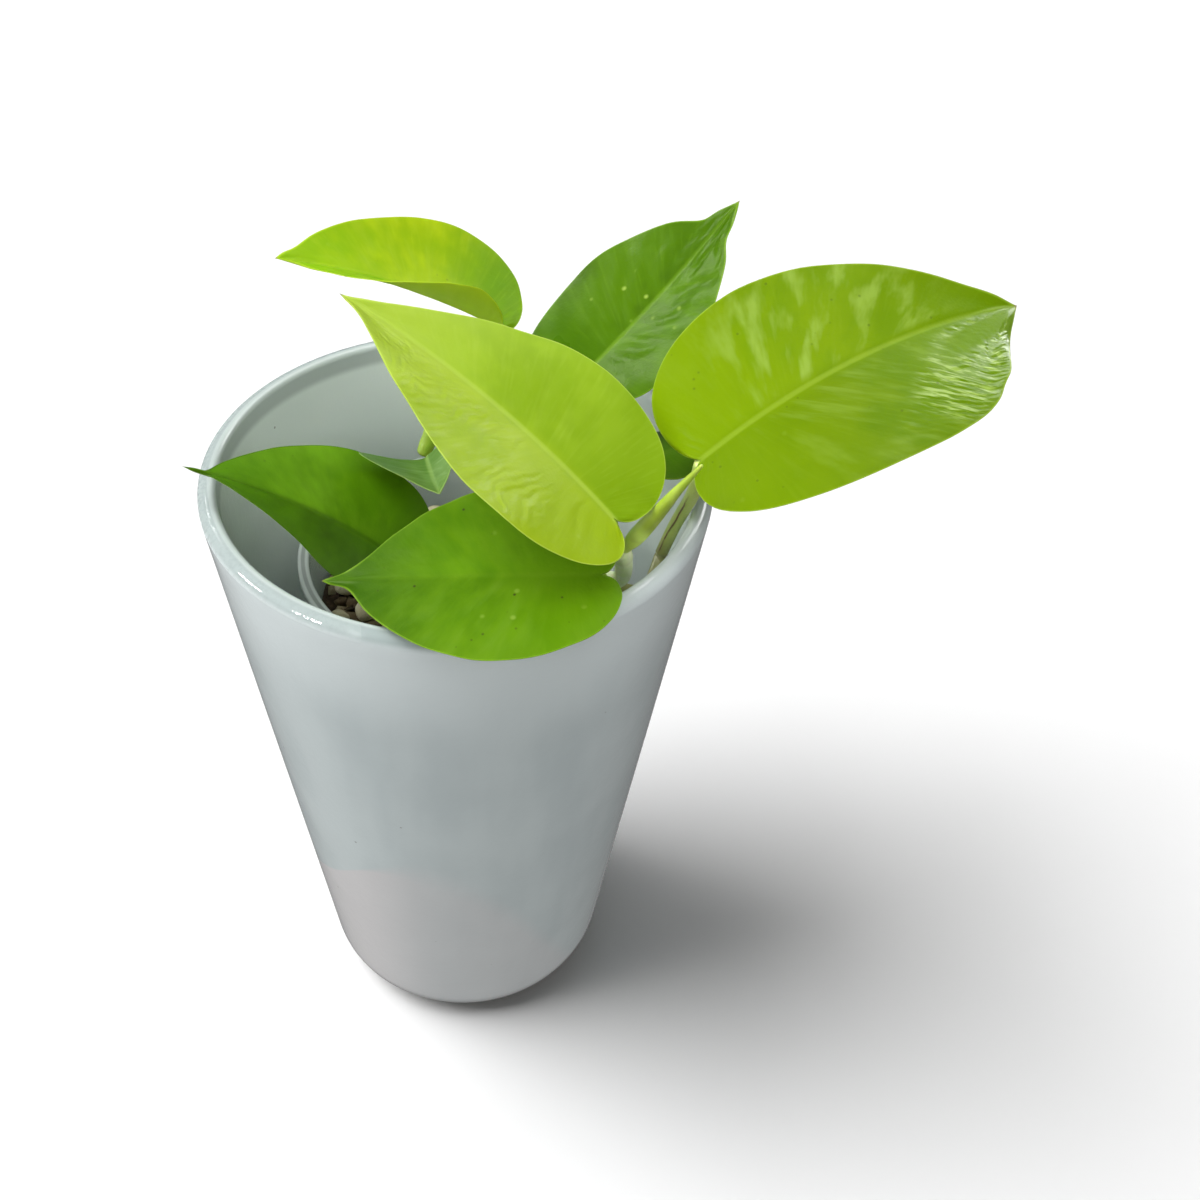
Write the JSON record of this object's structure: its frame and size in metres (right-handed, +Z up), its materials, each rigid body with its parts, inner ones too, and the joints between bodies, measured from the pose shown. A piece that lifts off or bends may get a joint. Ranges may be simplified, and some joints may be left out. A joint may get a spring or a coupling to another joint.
{
  "type": "potted lemon lime pothos",
  "caption": "Trailing house plant with heart-shaped lime leaves on jointed vines, rooted in a clear growing cup inside a tall tapered glazed planter.",
  "frame": {"origin": "centre of the planter's flat foot, on the surface it stands on", "axes": "+Z up the planter's axis; -Y to the front, the side seen in the picture; +X to the viewer's right"},
  "size_m": [0.1855, 0.129, 0.2248],
  "materials": {
    "planter_glaze": "glossy grey-white glaze with a faint speckle",
    "cup_plastic": "thin clear plastic, clouded with use",
    "growing_mix": "crumbly damp peat and bark",
    "pebble": "dry rounded tan gravel",
    "stem": "smooth pale green with brown nodes",
    "leaf_stalk": "smooth green, grooved along the top",
    "leaf_lime": "waxy half gloss, paler along the midrib",
    "leaf_mid_green": "waxy half gloss, lighter edge",
    "leaf_dark_green": "waxy half gloss"
  },
  "bodies": {
    "root": {"planter": "planter_glaze", "growing_cup": "cup_plastic", "growing_mix": "growing_mix", "pebble_01": "pebble", "pebble_02": "pebble", "pebble_03": "pebble", "pebble_04": "pebble", "pebble_05": "pebble", "pebble_06": "pebble", "pebble_07": "pebble", "pebble_08": "pebble", "pebble_09": "pebble", "pebble_10": "pebble", "pebble_11": "pebble", "pebble_12": "pebble", "pebble_13": "pebble", "pebble_14": "pebble", "pebble_15": "pebble", "pebble_16": "pebble", "stem_front": "stem", "stem_back": "stem", "stem_left": "stem", "stalk_centre": "leaf_stalk", "stalk_right": "leaf_stalk", "stalk_back_left": "leaf_stalk", "stalk_back_right": "leaf_stalk", "stalk_front": "leaf_stalk", "stalk_left": "leaf_stalk", "stalk_inner_left": "leaf_stalk", "stalk_inner_right": "leaf_stalk", "leaf_centre": "leaf_lime", "leaf_right": "leaf_lime", "leaf_back_left": "leaf_lime", "leaf_back_right": "leaf_mid_green", "leaf_front": "leaf_mid_green", "leaf_left": "leaf_dark_green", "leaf_inner_left": "leaf_dark_green", "leaf_inner_right": "leaf_dark_green", "leaf_roll": "leaf_lime"}
  },
  "joints": []
}
